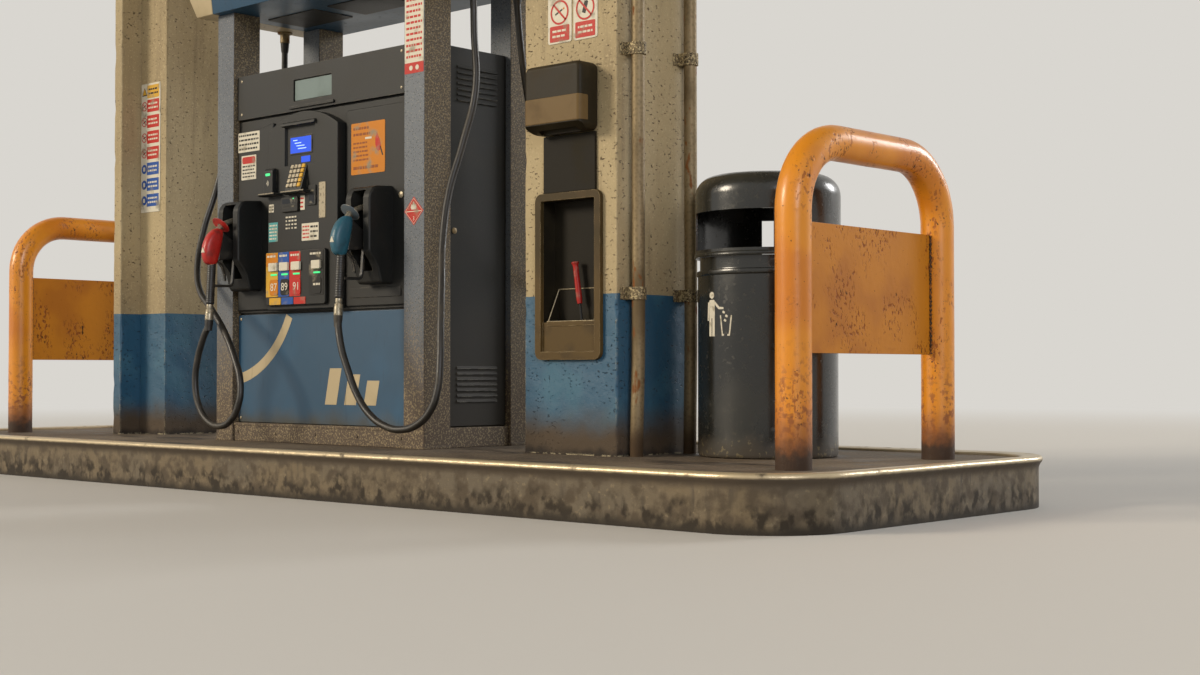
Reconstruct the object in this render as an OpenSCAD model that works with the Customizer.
// Filling station canopy over one pump island. Millimetres, +Z up.
// The origin is on the ground under the middle of the island. +X runs along the island, and the
// customer's side that the photograph shows faces -Y. Heights above the island's floor are marked so.

/* [Island] */
// Length over the kerb's nosing
island_l = 5300; // [5200:10:6000]
// Width over the kerb's nosing
island_w = 1700; // [1500:10:2000]
// Height of the kerb's top above the ground
island_h = 179; // [150:1:220]
// Plan radius of the corners at the nosing
island_r = 300; // [250:10:400]
// Width of the kerb's steel lip
lip_w = 60; // [50:5:100]
// Depth of the concrete floor below the lip
lip_drop = 13; // [5:1:25]
// Thickness of the rounded nosing
nosing_t = 27; // [16:1:34]
// How far the nosing stands out from the kerb's face
nosing_reach = 14; // [10:1:20]

/* [Columns] */
// Middle of the right column along the island
right_column_x = 1212; // [1150:1:1300]
// Width of the right column
right_column_w = 460; // [400:5:500]
// Depth of the right column
column_d = 420; // [380:5:450]
// Left edge of the left column's box
left_column_x = -1753; // [-1800:1:-1700]
// Width of the left column's box
left_column_w = 220; // [200:5:300]
// Front face of the left column's box
left_column_y = -120; // [-150:5:-100]
// Thickness of the flange on the left column
flange_t = 65; // [40:5:80]
// Front edge of that flange
flange_y = -226; // [-250:2:-200]

/* [Roof] */
// Length of the roof over its fascias
roof_l = 7400; // [6800:50:9000]
// Width of the roof over its fascias
roof_w = 6000; // [5000:50:7000]
// Clear height under the soffit
clearance = 4500; // [4300:50:5000]
// Height of the fascia
fascia_h = 760; // [700:10:900]
// Thickness of the fascia
fascia_t = 50; // [40:5:80]
// Thickness of the soffit
soffit_t = 25; // [15:5:40]
// Number of joists that carry the roof sheets
joist_count = 7; // [5:1:11]

/* [Dispenser] */
// Middle of the dispenser along the island
pump_x = -160; // [-200:5:-100]
// Width over the corner posts
pump_w = 1372; // [1300:2:1500]
// Depth over the corner posts
pump_d = 610; // [580:5:700]
// Width of a corner post
post_w = 120; // [100:5:140]
// Depth of a corner post
post_d = 140; // [120:5:160]
// Height of the plinth above the island's floor
plinth_h = 80; // [60:5:100]
// Top of the blue lower panel above the floor
lower_top = 550; // [500:5:600]
// Underside of the display head above the floor
head_bottom = 1400; // [1380:5:1420]
// Top of the cabinet above the floor
cabinet_top = 1595; // [1560:5:1640]
// Top of the posts above the floor, where the header starts
post_top = 1880; // [1800:5:2000]

/* [Header] */
// Length of the header
header_l = 1680; // [1600:10:1800]
// Depth of the header
header_d = 770; // [720:10:850]
// Height of its upright face
header_face_h = 305; // [250:5:350]
// Height of the chamfer under that face
chamfer_h = 150; // [100:5:180]
// How far the chamfer tucks in
chamfer_in = 44; // [30:2:60]
// Thickness of the cover on top
cover_t = 20; // [12:1:30]

/* [Guards] */
// Middle of the right hoop along the island
right_hoop_x = 2360; // [2300:5:2400]
// Middle of the left hoop along the island
left_hoop_x = -2340; // [-2400:5:-2300]
// Half the distance between a hoop's legs
hoop_half = 424; // [380:2:460]
// Diameter of the hoop's pipe
hoop_d = 114; // [89:1:127]
// Top of the hoop above the floor
hoop_top = 1086; // [900:2:1200]
// Bend radius at the pipe's middle
hoop_bend = 230; // [180:5:260]

/* [Bin] */
// Middle of the bin along the island
bin_x = 1800; // [1780:5:1830]
// Middle of the bin across the island
bin_y = 200; // [150:5:250]
// Diameter of the bin's body
bin_d = 500; // [440:5:520]
// Height of the bin above the floor
bin_h = 1000; // [950:5:1050]

/* [Hoses] */
// Outer diameter of a hose
hose_d = 28; // [24:1:32]

/* [Hidden] */
$fn = 48;

// Finishes
concrete = "#5a5348";
kerb_steel = "#6b6152";
cream = "#b3a17c";
teal = "#24506a";
white_sheet = "#c9c6bb";
galvanised = "#8d8674";
post_grey = "#4a5560";
black = "#1c1c1c";
yellow = "#d98e1f";
unit_grey = "#5d5342";
rubber = "#22201d";
red = "#a8201c";

// Island
floor_z = island_h - lip_drop;
corner_x = island_l / 2 - island_r;
corner_y = island_w / 2 - island_r;
kerb_face_r = island_r - nosing_reach;
lip_inner_r = island_r - lip_w - nosing_reach;

// Columns and roof
beam_bottom = clearance + 100;
beam_h = 300;
beam_w = 250;
beam_flange = 16;
beam_web = 12;
joist_w = 70;
joist_h = 120;
deck_t = 20;
fascia_bottom = clearance - 30;
column_gap = 5;
light_l = 620;
light_w = 300;
light_h = 70;
light_x = 1900;
light_y = 1700;

// Conduits on the right column's outer face
conduit_d = 48;
conduit_gap = 15;
conduit_x = right_column_x + right_column_w / 2 + conduit_gap + conduit_d / 2;
conduit_ys = [-140, 155];
clip_first = 580;
clip_pitch = 875;
clip_count = 5;
clip_h = 45;
clip_t = 5;
clip_ear = 27;

// Dispenser
panel_in = 30;
front_y = -pump_d / 2;
panel_y = front_y + panel_in;
panel_w = pump_w - 2 * post_w;
panel_t = 12;
head_out = 12;
side_in = 25;
joint = 4;
lcd_x = -196;
lcd_w = 250;
lcd_low = 1446;
lcd_high = 1532;
lcd_deep = 8;
terminal_x = -220;
terminal_w = 467;
terminal_low = 562;
terminal_shoulder = 1320;
terminal_top = 1390;
terminal_t = 45;
screen_x = -238;
screen_w = 200;
screen_low = 1168;
screen_high = 1335;
screen_deep = 11;
keypad_x = -240;
keypad_w = 110;
keypad_low = 1060;
keypad_out = 34;
ledge_low = 1044;
ledge_t = 12;
ledge_out = 42;
ledges = [[-470, -360], [-315, -157]];
reader_x = [-456, -392];
reader_high = 1164;
reader_out = 24;
selector_x = -245;
selector_w = 400;
selector_low = 579;
selector_high = 808;
selector_t = 16;

// Boots and nozzles
boot_w = 150;
boot_out = 133;
boot_low = 650;
boot_high = 1040;
boot_back = 18;
slot_w = 76;
slot_low = 700;
slot_high = 1018;
cradle_out = 60;
cradle_low = 880;
nozzle_xs = [-620, 245];
collar_low = 520;
collar_y = -500;
collar_d = 36;
collar_h = 45;
swivel_d = 28;
swivel_h = 25;
grip_d = 36;
grip_h = 252;
cover_w = 56;
skirt_w = 28;
guard_w = 16;
splash_d = 84;
splash_t = 5;
splash_tilt = 42;
neck = [36, 376];
neck_d = 26;
neck_l = 48;
spout_bend = [54, 404];
spout_tilt = 67;
spout_d = 22;
spout_rise_l = 78;
spout_z = 434;
spout_level_l = 80;
lean = 3;

// Header
header_low = post_top;
header_face_low = header_low + chamfer_h;
header_high = header_face_low + header_face_h;
end_top_w = 340;
end_face_w = 200;
end_low_w = 120;
cover_end_out = 90;
cover_front_out = 30;
outlet_half = 765;
outlet_y = -120;
outlet_d = 44;
outlet_h = 50;

// Service unit on the right column's front
unit_x = 1218;
face_y = -column_d / 2;
basin_x = 1214;
basin_w = 326;
basin_r = 30;
basin_low = 344;
basin_high = 955;
basin_out = 18;
rim_w = 30;
rim_out = 12;
bay_w = basin_w - 2 * rim_w;
bay_low = 482;
bay_high = 927;
bay_deep = 58;
tub_wall = 3;
tub_low = 372;
apron_t = 8;
tray_w = 226;
tray_back_high = 606;
pocket_gap = 2;
plate_w = 258;
plate_out = 12;
plate_high = 1165;
towel_w = 280;
towel_r = 26;
towel_high = 1410;
towel_out = 106;
paper_slot = [190, 30, 60];
brush_x = 1261;
brush_y = -180;
brush_tilt = 8.9;
brush_head = [120, 16, 24];
brush_rod_d = 9;
brush_rod_l = 168;
brush_grip_d = 22;
brush_grip_l = 150;
brush_cap_d = 28;
brush_cap_h = 7;

// Bin
bin_wall = 6;
bin_body_h = 660;
bin_collar_h = 45;
dome_r = 75;
mouth_low = 730;
mouth_h = 134;
mouth_w = 330;

// Sign plates
sign_t = 3;
notice_x = [-1745, -1581];
notice_z = [1073, 1700];
sign_xs = [[1104, 1223], [1232, 1351]];
sign_z = [1505, 1685];

// Hose routes, hand-laid in round numbers: x and y in the frame, z above the island's floor
hose_r = hose_d / 2;
hose_sides = 10;
left_route = [
    [-925, -120, 1830], [-930, -135, 1640], [-942, -170, 1400], [-960, -225, 1140],
    [-968, -290, 940], [-928, -350, 780], [-838, -400, 660], [-704, -430, 570],
    [-588, -450, 480], [-482, -470, 365], [-415, -485, 250], [-416, -495, 160],
    [-462, -500, 97], [-533, -504, 72], [-613, -508, 92], [-676, -510, 155],
    [-705, -510, 250], [-690, -510, 350], [-650, -508, 445], [-620, -500, 520]
];
right_route = [
    [605, -120, 1830], [620, -130, 1640], [655, -155, 1400], [640, -210, 1180],
    [632, -270, 1000], [660, -330, 800], [720, -390, 620], [770, -440, 460],
    [800, -470, 330], [805, -485, 240], [780, -497, 160], [718, -505, 107],
    [632, -509, 85], [540, -511, 96], [450, -513, 140], [380, -515, 212],
    [325, -515, 305], [275, -512, 410], [245, -500, 520]
];
route_start = [0, 0, -1];
route_end = [0, sin(lean), cos(lean)];

function unit(v) = v / norm(v);
function route_dir(route, k) =
    k == 0 ? route_start
    : k == len(route) - 1 ? route_end
    : unit(unit(route[k + 1] - route[k]) + unit(route[k] - route[k - 1]));
function ring(p, dir, r) =
    let (u = unit(cross(dir, [0, 1, 0])), v = cross(dir, u))
    [
        for (k = [0 : hose_sides - 1])
            let (a = 360 * k / hose_sides)
            p + r * (cos(a) * u + sin(a) * v)
    ];

// Plain shapes
module rounded_plan(l, w, r) {
    square([l - 2 * r, w], center = true);
    square([l, w - 2 * r], center = true);
    for (sx = [-1, 1], sy = [-1, 1])
        translate([sx * (l / 2 - r), sy * (w / 2 - r)]) circle(r);
}

module block(x, y, z) {
    translate([x[0], y[0], z[0]]) cube([x[1] - x[0], y[1] - y[0], z[1] - z[0]]);
}

// A rounded plate that stands upright, with its back at y and its thickness towards -Y
module upright_plate(x, z, y, t, r) {
    translate([(x[0] + x[1]) / 2, y, (z[0] + z[1]) / 2])
        rotate([90, 0, 0])
        linear_extrude(t) rounded_plan(x[1] - x[0], z[1] - z[0], r);
}

// An outline drawn in Y and Z, drawn out along X about the middle x
module side_outline(x, w, points) {
    translate([x - w / 2, 0, 0])
        rotate([90, 0, 90])
        linear_extrude(w) polygon(points);
}

// Both sides of the dispenser are the same, turned half round about its middle
module back_side() {
    translate([2 * pump_x, 0, 0]) rotate([0, 0, 180]) children();
}

// Island
module kerb_section() {
    translate([lip_inner_r, 0]) square([kerb_face_r - lip_inner_r, island_h - nosing_t / 2]);
    translate([lip_inner_r, island_h - nosing_t / 2])
        square([island_r - nosing_t / 2 - lip_inner_r, nosing_t / 2]);
    translate([island_r - nosing_t / 2, island_h - nosing_t / 2]) circle(nosing_t / 2);
}

module kerb_side(x, y, turn, l) {
    translate([x, y, 0]) rotate([0, 0, turn])
        rotate([90, 0, 0]) translate([0, 0, -l / 2]) linear_extrude(l) kerb_section();
}

module island_kerb() {
    color(kerb_steel) {
        kerb_side(corner_x, 0, 0, 2 * corner_y);
        kerb_side(-corner_x, 0, 180, 2 * corner_y);
        kerb_side(0, corner_y, 90, 2 * corner_x);
        kerb_side(0, -corner_y, -90, 2 * corner_x);
        for (turn = [0, 90, 180, 270])
            translate([
                (turn == 0 || turn == 270 ? 1 : -1) * corner_x,
                (turn < 180 ? 1 : -1) * corner_y,
                0
            ])
            rotate([0, 0, turn]) rotate_extrude(angle = 90) kerb_section();
    }
}

module island_slab() {
    color(concrete)
        linear_extrude(floor_z)
        rounded_plan(2 * (corner_x + lip_inner_r), 2 * (corner_y + lip_inner_r), lip_inner_r);
}

// Columns
module left_column() {
    color(cream)
        block([left_column_x, left_column_x + left_column_w], [left_column_y, column_d / 2],
            [floor_z, beam_bottom]);
}

module left_column_flange() {
    color(cream)
        block([left_column_x - flange_t, left_column_x], [flange_y, -flange_y],
            [floor_z, beam_bottom]);
}

module right_column() {
    over = tub_wall + pocket_gap;
    color(cream)
        difference() {
            block([right_column_x - right_column_w / 2, right_column_x + right_column_w / 2],
                [-column_d / 2, column_d / 2], [floor_z, beam_bottom]);
            block([basin_x - bay_w / 2 - over, basin_x + bay_w / 2 + over],
                [face_y - 1, face_y + bay_deep + over],
                [floor_z + tub_low - over, floor_z + bay_high + over]);
        }
}

// Roof
module main_beam() {
    inner_l = roof_l - 2 * fascia_t;
    beam_top = beam_bottom + beam_h;
    color(galvanised) {
        block([-inner_l / 2, inner_l / 2], [-beam_w / 2, beam_w / 2],
            [beam_bottom, beam_bottom + beam_flange]);
        block([-inner_l / 2, inner_l / 2], [-beam_web / 2, beam_web / 2],
            [beam_bottom + beam_flange, beam_top - beam_flange]);
        block([-inner_l / 2, inner_l / 2], [-beam_w / 2, beam_w / 2],
            [beam_top - beam_flange, beam_top]);
    }
}

module joists() {
    inner_w = roof_w - 2 * fascia_t;
    run = roof_l - 2 * fascia_t - 600;
    color(galvanised)
        for (k = [0 : joist_count - 1])
            translate([-run / 2 + k * run / (joist_count - 1), 0, beam_bottom + beam_h])
            block([-joist_w / 2, joist_w / 2], [-inner_w / 2, inner_w / 2], [0, joist_h]);
}

module roof_deck() {
    color(white_sheet)
        translate([0, 0, beam_bottom + beam_h + joist_h])
        block([-roof_l / 2 + fascia_t, roof_l / 2 - fascia_t],
            [-roof_w / 2 + fascia_t, roof_w / 2 - fascia_t], [0, deck_t]);
}

module soffit() {
    color(white_sheet)
        difference() {
            block([-roof_l / 2 + fascia_t, roof_l / 2 - fascia_t],
                [-roof_w / 2 + fascia_t, roof_w / 2 - fascia_t],
                [clearance, clearance + soffit_t]);
            block([left_column_x - flange_t - column_gap, left_column_x + left_column_w + column_gap],
                [flange_y - column_gap, -flange_y + column_gap],
                [clearance - 1, clearance + soffit_t + 1]);
            block([right_column_x - right_column_w / 2 - column_gap,
                    conduit_x + conduit_d / 2 + column_gap],
                [-column_d / 2 - column_gap, column_d / 2 + column_gap],
                [clearance - 1, clearance + soffit_t + 1]);
        }
}

module long_fascia(side) {
    near = side * (roof_w / 2 - fascia_t);
    far = side * roof_w / 2;
    color(white_sheet)
        block([-roof_l / 2, roof_l / 2], [min(near, far), max(near, far)],
            [fascia_bottom, fascia_bottom + fascia_h]);
}

module short_fascia(side) {
    near = side * (roof_l / 2 - fascia_t);
    far = side * roof_l / 2;
    color(white_sheet)
        block([min(near, far), max(near, far)], [-roof_w / 2 + fascia_t, roof_w / 2 - fascia_t],
            [fascia_bottom, fascia_bottom + fascia_h]);
}

module canopy_lights() {
    color("white")
        for (sx = [-1, 1], sy = [-1, 1])
            translate([sx * light_x, sy * light_y, clearance - light_h])
            linear_extrude(light_h) rounded_plan(light_l, light_w, 20);
}

// Conduits
module conduits() {
    color(galvanised)
        for (y = conduit_ys)
            translate([conduit_x, y, floor_z]) cylinder(h = beam_bottom - floor_z, d = conduit_d);
}

module clip() {
    foot_x = -conduit_gap - conduit_d / 2;
    difference() {
        union() {
            cylinder(h = clip_h, d = conduit_d + 2 * clip_t);
            block([foot_x, 0], [-conduit_d / 2 - clip_t, conduit_d / 2 + clip_t], [0, clip_h]);
            block([foot_x, foot_x + 6], [-conduit_d / 2 - clip_t - clip_ear, 0], [0, clip_h]);
        }
        translate([0, 0, -1]) cylinder(h = clip_h + 2, d = conduit_d);
    }
}

module conduit_clips() {
    color(galvanised)
        for (y = conduit_ys, k = [0 : clip_count - 1])
            translate([conduit_x, y, floor_z + clip_first + k * clip_pitch - clip_h / 2]) clip();
}

// Dispenser
module dispenser_plinth() {
    color(post_grey)
        translate([0, 0, floor_z])
        difference() {
            block([pump_x - pump_w / 2 + 10, pump_x + pump_w / 2 - 10],
                [-pump_d / 2 + 10, pump_d / 2 - 10], [0, plinth_h]);
            for (sx = [-1, 1], sy = [-1, 1])
                translate([pump_x + sx * (pump_w - post_w) / 2, sy * (pump_d - post_d) / 2, 0])
                block([-post_w / 2, post_w / 2], [-post_d / 2, post_d / 2], [-1, plinth_h + 1]);
        }
}

module dispenser_posts() {
    color(post_grey)
        for (sx = [-1, 1], sy = [-1, 1])
            translate([pump_x + sx * (pump_w - post_w) / 2, sy * (pump_d - post_d) / 2, floor_z])
            linear_extrude(post_top) rounded_plan(post_w, post_d, 8);
}

module dispenser_cabinet() {
    core_y = -panel_y - panel_t;
    color(black)
        translate([0, 0, floor_z])
        difference() {
            block([pump_x - pump_w / 2 + side_in + panel_t, pump_x + pump_w / 2 - side_in - panel_t],
                [-core_y, core_y], [plinth_h, cabinet_top]);
            for (sx = [-1, 1], sy = [-1, 1])
                translate([pump_x + sx * (pump_w - post_w) / 2, sy * (pump_d - post_d) / 2, 0])
                block([-post_w / 2, post_w / 2], [-post_d / 2, post_d / 2], [0, cabinet_top + 1]);
        }
}

module side_panels() {
    half = pump_d / 2 - post_d - joint;
    color(black)
        for (sx = [-1, 1])
            translate([pump_x + sx * (pump_w / 2 - side_in - panel_t / 2), 0, floor_z])
            block([-panel_t / 2, panel_t / 2], [-half, half], [plinth_h, cabinet_top]);
}

module front_panel(z) {
    upright_plate([pump_x - panel_w / 2 + joint, pump_x + panel_w / 2 - joint],
        [floor_z + z[0], floor_z + z[1]], panel_y + panel_t, panel_t, 6);
}

module front_lower_panel() {
    color(teal) front_panel([plinth_h, lower_top]);
}

module back_lower_panel() {
    color(teal) back_side() front_panel([plinth_h, lower_top]);
}

module front_upper_panel() {
    color(black) front_panel([lower_top + joint, head_bottom - joint]);
}

module back_upper_panel() {
    color(black) back_side() front_panel([lower_top + joint, head_bottom - joint]);
}

module display_head() {
    difference() {
        upright_plate([pump_x - panel_w / 2 + joint, pump_x + panel_w / 2 - joint],
            [floor_z + head_bottom, floor_z + cabinet_top], panel_y + panel_t,
            panel_t + head_out, 6);
        upright_plate([lcd_x - lcd_w / 2, lcd_x + lcd_w / 2], [floor_z + lcd_low, floor_z + lcd_high],
            panel_y - head_out + lcd_deep, lcd_deep + 1, 4);
    }
}

module display_heads() {
    color(black) {
        display_head();
        back_side() display_head();
    }
}

// The terminal's face is a tall plate with an arched top, hollowed for the screen and keys
module terminal_face() {
    rise = terminal_top - terminal_shoulder;
    arch_r = (pow(terminal_w / 2, 2) + rise * rise) / (2 * rise);
    translate([-terminal_w / 2, terminal_low])
        square([terminal_w, terminal_shoulder - terminal_low]);
    intersection() {
        translate([0, terminal_top - arch_r]) circle(arch_r, $fn = 180);
        translate([-terminal_w / 2, terminal_shoulder - 1]) square([terminal_w, rise + 1]);
    }
}

// A key pad slopes out of the terminal's face on to a ledge, beside a card reader on its own ledge
module payment_terminal() {
    front = panel_y - terminal_t;
    difference() {
        translate([terminal_x, panel_y, floor_z])
            rotate([90, 0, 0]) linear_extrude(terminal_t) terminal_face();
        block([screen_x - screen_w / 2, screen_x + screen_w / 2], [front - 1, front + screen_deep],
            [floor_z + screen_low, floor_z + screen_high]);
    }
    side_outline(keypad_x, keypad_w, [
        [front + 1, floor_z + ledge_low], [front - keypad_out, floor_z + ledge_low],
        [front - keypad_out, floor_z + keypad_low], [front, floor_z + screen_low],
        [front + screen_deep + 1, floor_z + screen_low], [front + 1, floor_z + screen_low - 8]
    ]);
    for (x = ledges)
        block(x, [front - ledge_out, front + 1], [floor_z + ledge_low, floor_z + ledge_low + ledge_t]);
    block(reader_x, [front - reader_out, front + 1],
        [floor_z + ledge_low + 1, floor_z + reader_high]);
}

module front_payment_terminal() {
    color(black) payment_terminal();
}

module back_payment_terminal() {
    color(black) back_side() payment_terminal();
}

module grade_selector() {
    upright_plate([selector_x - selector_w / 2, selector_x + selector_w / 2],
        [floor_z + selector_low, floor_z + selector_high], panel_y - terminal_t, selector_t, 12);
}

module grade_selectors() {
    color(black) {
        grade_selector();
        back_side() grade_selector();
    }
}

// A boot is a hood with a slot down its front. A block in the slot carries the nozzle's spout.
module nozzle_boot() {
    difference() {
        side_outline(0, boot_w, [
            [panel_y, floor_z + boot_low],
            [panel_y - 70, floor_z + boot_low],
            [panel_y - 88, floor_z + boot_low + 62],
            [panel_y - boot_out, floor_z + boot_low + 126],
            [panel_y - boot_out, floor_z + boot_high - 50],
            [panel_y - boot_out + 24, floor_z + boot_high - 10],
            [panel_y, floor_z + boot_high]
        ]);
        block([-slot_w / 2, slot_w / 2], [panel_y - boot_out - 1, panel_y - boot_back],
            [floor_z + slot_low, floor_z + slot_high]);
    }
    block([-slot_w / 2 - 1, slot_w / 2 + 1], [panel_y - cradle_out, panel_y - boot_back + 1],
        [floor_z + cradle_low, floor_z + collar_low + spout_z - spout_d / 2]);
}

module nozzle_boots() {
    color(black)
        for (x = nozzle_xs) {
            translate([x, 0, 0]) nozzle_boot();
            back_side() translate([x, 0, 0]) nozzle_boot();
        }
}

// A rod of one diameter in the nozzle's middle plane, from a point in Y and Z, leant to +Y
module nozzle_rod(start, tilt, l, d) {
    translate([0, start[0], start[1]]) rotate([-tilt, 0, 0]) cylinder(h = l, d = d);
}

// A nozzle hangs nearly upright by its spout. The hose's swivel is at the bottom, with the grip
// and the cover above it. The lever's guard and the spout point into the boot's slot.
module nozzle() {
    translate([0, collar_y, floor_z + collar_low]) {
        rotate([-lean, 0, 0]) {
            cylinder(h = collar_h, d = collar_d);
            translate([0, 0, collar_h]) cylinder(h = swivel_h, d = swivel_d);
            translate([0, 0, collar_h + swivel_h])
                cylinder(h = grip_h - collar_h - swivel_h, d = grip_d);
        }
        side_outline(0, cover_w, [
            [-12, 238], [-26, 250], [-33, 278], [-31, 312], [-18, 348], [6, 378], [32, 394],
            [52, 390], [62, 372], [56, 330], [44, 285], [34, 250], [24, 238]
        ]);
        side_outline(0, skirt_w, [
            [50, 380], [62, 378], [122, 338], [133, 322], [133, 278], [124, 266], [36, 252]
        ]);
        difference() {
            side_outline(0, guard_w, [
                [8, 140], [106, 143], [117, 150], [122, 163], [131, 272], [120, 276], [36, 256],
                [8, 240]
            ]);
            side_outline(0, guard_w + 2, [
                [22, 153], [102, 156], [109, 166], [118, 262], [116, 264], [40, 246], [26, 236]
            ]);
        }
        nozzle_rod(neck, splash_tilt, neck_l, neck_d);
        nozzle_rod(spout_bend, splash_tilt, splash_t, splash_d);
        nozzle_rod(spout_bend, spout_tilt, spout_rise_l, spout_d);
        nozzle_rod([116, spout_z], 90, spout_level_l, spout_d);
    }
}

module front_nozzles() {
    color(red) for (x = nozzle_xs) translate([x, 0, 0]) nozzle();
}

module back_nozzles() {
    color(red) back_side() for (x = nozzle_xs) translate([x, 0, 0]) nozzle();
}

// Hoses
module outlet(side) {
    translate([pump_x + side * outlet_half, outlet_y, floor_z + post_top - outlet_h])
        cylinder(h = outlet_h, d = outlet_d);
}

module hose_outlets() {
    color(galvanised)
        for (side = [-1, 1]) {
            outlet(side);
            back_side() outlet(side);
        }
}

module hose(route) {
    count = len(route);
    rings = [for (k = [0 : count - 1]) each ring(route[k], route_dir(route, k), hose_r)];
    skin = [
        for (k = [0 : count - 2], s = [0 : hose_sides - 1])
            let (a = k * hose_sides, t = (s + 1) % hose_sides)
            each [
                [a + s, a + t, a + hose_sides + t],
                [a + s, a + hose_sides + t, a + hose_sides + s]
            ]
    ];
    first = [for (s = [hose_sides - 1 : -1 : 0]) s];
    last = [for (s = [0 : hose_sides - 1]) (count - 1) * hose_sides + s];
    translate([0, 0, floor_z]) polyhedron(rings, concat(skin, [first], [last]), convexity = 6);
}

module front_left_hose() {
    color(rubber) hose(left_route);
}

module front_right_hose() {
    color(rubber) hose(right_route);
}

module back_left_hose() {
    color(rubber) back_side() hose(left_route);
}

module back_right_hose() {
    color(rubber) back_side() hose(right_route);
}

// Header: chamfered all round, so it is the meeting of a long view and an end view
module header_view(half) {
    polygon([
        [-half + chamfer_in, header_low], [half - chamfer_in, header_low],
        [half, header_face_low], [half, header_high],
        [-half, header_high], [-half, header_face_low]
    ]);
}

module header_shape() {
    translate([pump_x, 0, floor_z])
        intersection() {
            rotate([90, 0, 0]) translate([0, 0, -header_d]) linear_extrude(2 * header_d)
                header_view(header_l / 2);
            rotate([90, 0, 90]) translate([0, 0, -header_l]) linear_extrude(2 * header_l)
                header_view(header_d / 2);
        }
}

module header_end_region(side) {
    half = header_l / 2;
    translate([pump_x, header_d, floor_z])
        rotate([90, 0, 0]) linear_extrude(2 * header_d)
        polygon([
            [side * (half + 10), header_low - 10],
            [side * (half - end_low_w - chamfer_in), header_low - 10],
            [side * (half - end_low_w - chamfer_in), header_low],
            [side * (half - end_face_w), header_face_low],
            [side * (half - end_top_w), header_high], [side * (half - end_top_w), header_high + 10],
            [side * (half + 10), header_high + 10]
        ]);
}

module header_box() {
    color(teal)
        difference() {
            header_shape();
            header_end_region(-1);
            header_end_region(1);
        }
}

module header_ends() {
    color(cream)
        for (side = [-1, 1])
            intersection() {
                header_shape();
                header_end_region(side);
            }
}

module header_cover() {
    color(galvanised)
        translate([pump_x, 0, floor_z + header_high])
        linear_extrude(cover_t)
        rounded_plan(header_l + 2 * cover_end_out, header_d + 2 * cover_front_out, 12);
}

// Service unit
module towel_dispenser() {
    low = floor_z + plate_high;
    front = face_y - towel_out;
    color(unit_grey)
        difference() {
            upright_plate([unit_x - towel_w / 2, unit_x + towel_w / 2],
                [low, floor_z + towel_high], face_y, towel_out, towel_r);
            side_outline(unit_x, towel_w + 10, [
                [front - 1, low - 1], [front - 1, low + 32], [front + 22, low + 14],
                [face_y - 45, low - 1]
            ]);
            block([unit_x - paper_slot[0] / 2, unit_x + paper_slot[0] / 2],
                [face_y - 45 - paper_slot[1], face_y - 45], [low - 1, low + paper_slot[2]]);
        }
}

module service_backplate() {
    color(unit_grey)
        block([unit_x - plate_w / 2, unit_x + plate_w / 2], [face_y - plate_out, face_y],
            [floor_z + basin_high, floor_z + plate_high]);
}

// The basin is a tub let into the column. Its rounded rim frames an open bay, the apron closes the
// bay's lower part, and a thin slanted tray stands in it
module washer_basin() {
    apron_y = face_y - basin_out + rim_out;
    deep = face_y + bay_deep;
    low = floor_z + tub_low;
    color(unit_grey) {
        difference() {
            union() {
                upright_plate([basin_x - basin_w / 2, basin_x + basin_w / 2],
                    [floor_z + basin_low, floor_z + basin_high], face_y, basin_out, basin_r);
                block([basin_x - bay_w / 2 - tub_wall, basin_x + bay_w / 2 + tub_wall],
                    [face_y - 1, deep + tub_wall], [low - tub_wall, floor_z + bay_high + tub_wall]);
            }
            block([basin_x - bay_w / 2, basin_x + bay_w / 2], [apron_y + apron_t, deep],
                [low, floor_z + bay_high]);
            block([basin_x - bay_w / 2, basin_x + bay_w / 2], [face_y - basin_out - 1, apron_y],
                [floor_z + basin_low + rim_w, floor_z + bay_high]);
            block([basin_x - bay_w / 2, basin_x + bay_w / 2], [apron_y - 1, deep],
                [floor_z + bay_low, floor_z + bay_high]);
        }
        difference() {
            side_outline(unit_x, tray_w, [
                [apron_y + apron_t - 1, low - 1], [apron_y + apron_t - 1, floor_z + bay_low],
                [deep + 1, floor_z + tray_back_high], [deep + 1, low - 1]
            ]);
            block([unit_x - tray_w / 2 + tub_wall, unit_x + tray_w / 2 - tub_wall],
                [apron_y, deep - tub_wall], [low, floor_z + bay_high]);
        }
    }
}

// The squeegee stands in the tub, leaning to the left
module squeegee() {
    color(red)
        translate([brush_x, brush_y, floor_z + tub_low + brush_head[0] / 2 * sin(brush_tilt)])
        rotate([0, -brush_tilt, 0]) {
            translate([-brush_head[0] / 2, -brush_head[1] / 2, 0]) cube(brush_head);
            cylinder(h = brush_rod_l, d = brush_rod_d);
            translate([0, 0, brush_rod_l]) cylinder(h = brush_grip_l, d = brush_grip_d);
            translate([0, 0, brush_rod_l + brush_grip_l]) cylinder(h = brush_cap_h, d = brush_cap_d);
        }
}

module sign_plate(x, z, y) {
    upright_plate(x, [floor_z + z[0], floor_z + z[1]], y, sign_t, 6);
}

module sign_boards() {
    color("white") {
        sign_plate(notice_x, notice_z, left_column_y);
        for (x = sign_xs) sign_plate(x, sign_z, face_y);
    }
}

// Bin
module bin_body() {
    outer = bin_d / 2;
    color(black)
        translate([bin_x, bin_y, floor_z])
        rotate_extrude($fn = 96)
        polygon([
            [0, 0], [outer, 0], [outer, bin_body_h], [outer - 8, bin_body_h],
            [outer - 8, bin_body_h + bin_collar_h], [outer - 8 - bin_wall, bin_body_h + bin_collar_h],
            [outer - 8 - bin_wall, bin_body_h - 10], [outer - bin_wall, bin_body_h - 20],
            [outer - bin_wall, bin_wall], [0, bin_wall]
        ]);
}

module hood_outline(r, h, bend) {
    square([r, h - bend]);
    square([r - bend, h]);
    translate([r - bend, h - bend]) circle(bend);
}

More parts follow.
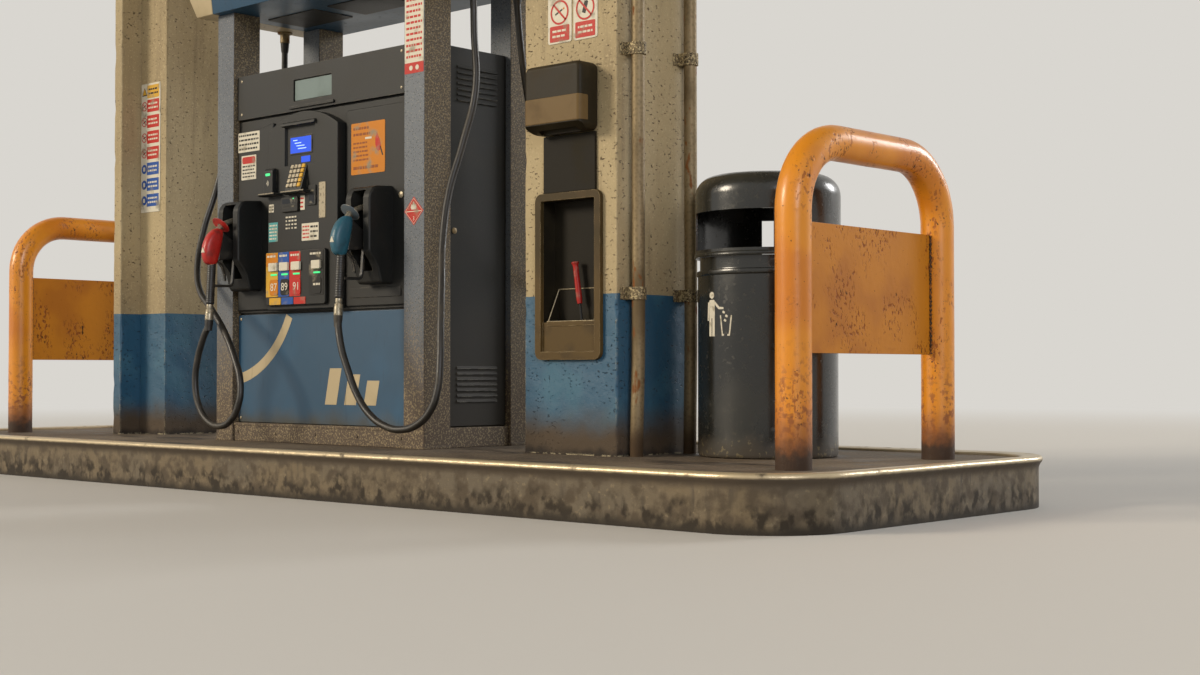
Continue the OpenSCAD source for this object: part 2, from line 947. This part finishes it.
module bin_hood() {
    low = bin_body_h + bin_collar_h;
    outer = bin_d / 2 + 10;
    h = bin_h - low;
    color(black)
        translate([bin_x, bin_y, floor_z + low])
        difference() {
            rotate_extrude($fn = 96)
                difference() {
                    hood_outline(outer, h, dome_r);
                    translate([0, -1])
                        hood_outline(outer - bin_wall, h - bin_wall + 1, dome_r - bin_wall);
                }
            for (side = [-1, 1])
                translate([0, side * outer, mouth_low - low + mouth_h / 2])
                    cube([mouth_w, outer, mouth_h], center = true);
        }
}

// Hoop guards
module hoop(x) {
    bar_z = hoop_top - hoop_d / 2;
    bend_z = bar_z - hoop_bend;
    color(yellow)
        translate([x, 0, floor_z])
        for (side = [0, 1])
            mirror([0, side, 0]) {
                translate([0, hoop_half, 0]) cylinder(h = bend_z, d = hoop_d);
                translate([0, hoop_half - hoop_bend, bend_z])
                    rotate([90, 0, 90])
                    rotate_extrude(angle = 90) translate([hoop_bend, 0]) circle(d = hoop_d);
                translate([0, 0, bar_z])
                    rotate([-90, 0, 0]) cylinder(h = hoop_half - hoop_bend, d = hoop_d);
            }
}

module left_hoop() {
    hoop(left_hoop_x);
}

module right_hoop() {
    hoop(right_hoop_x);
}

module hoop_panel(x) {
    translate([x, 0, floor_z])
        difference() {
            block([-5, 5], [-hoop_half, hoop_half], [360, 770]);
            for (side = [-1, 1])
                translate([0, side * hoop_half, 350]) cylinder(h = 430, d = hoop_d);
        }
}

module hoop_panels() {
    color(yellow) {
        hoop_panel(left_hoop_x);
        hoop_panel(right_hoop_x);
    }
}

island_kerb();
island_slab();
left_column();
left_column_flange();
right_column();
main_beam();
joists();
soffit();
roof_deck();
long_fascia(-1);  // front_fascia
long_fascia(1);  // back_fascia
short_fascia(-1);  // left_fascia
short_fascia(1);  // right_fascia
canopy_lights();
conduits();
conduit_clips();
dispenser_plinth();
dispenser_posts();
dispenser_cabinet();
side_panels();
front_lower_panel();
back_lower_panel();
front_upper_panel();
back_upper_panel();
display_heads();
front_payment_terminal();
back_payment_terminal();
grade_selectors();
nozzle_boots();
front_nozzles();
back_nozzles();
hose_outlets();
front_left_hose();
front_right_hose();
back_left_hose();
back_right_hose();
header_box();
header_ends();
header_cover();
towel_dispenser();
service_backplate();
washer_basin();
squeegee();
sign_boards();
bin_body();
bin_hood();
left_hoop();
right_hoop();
hoop_panels();
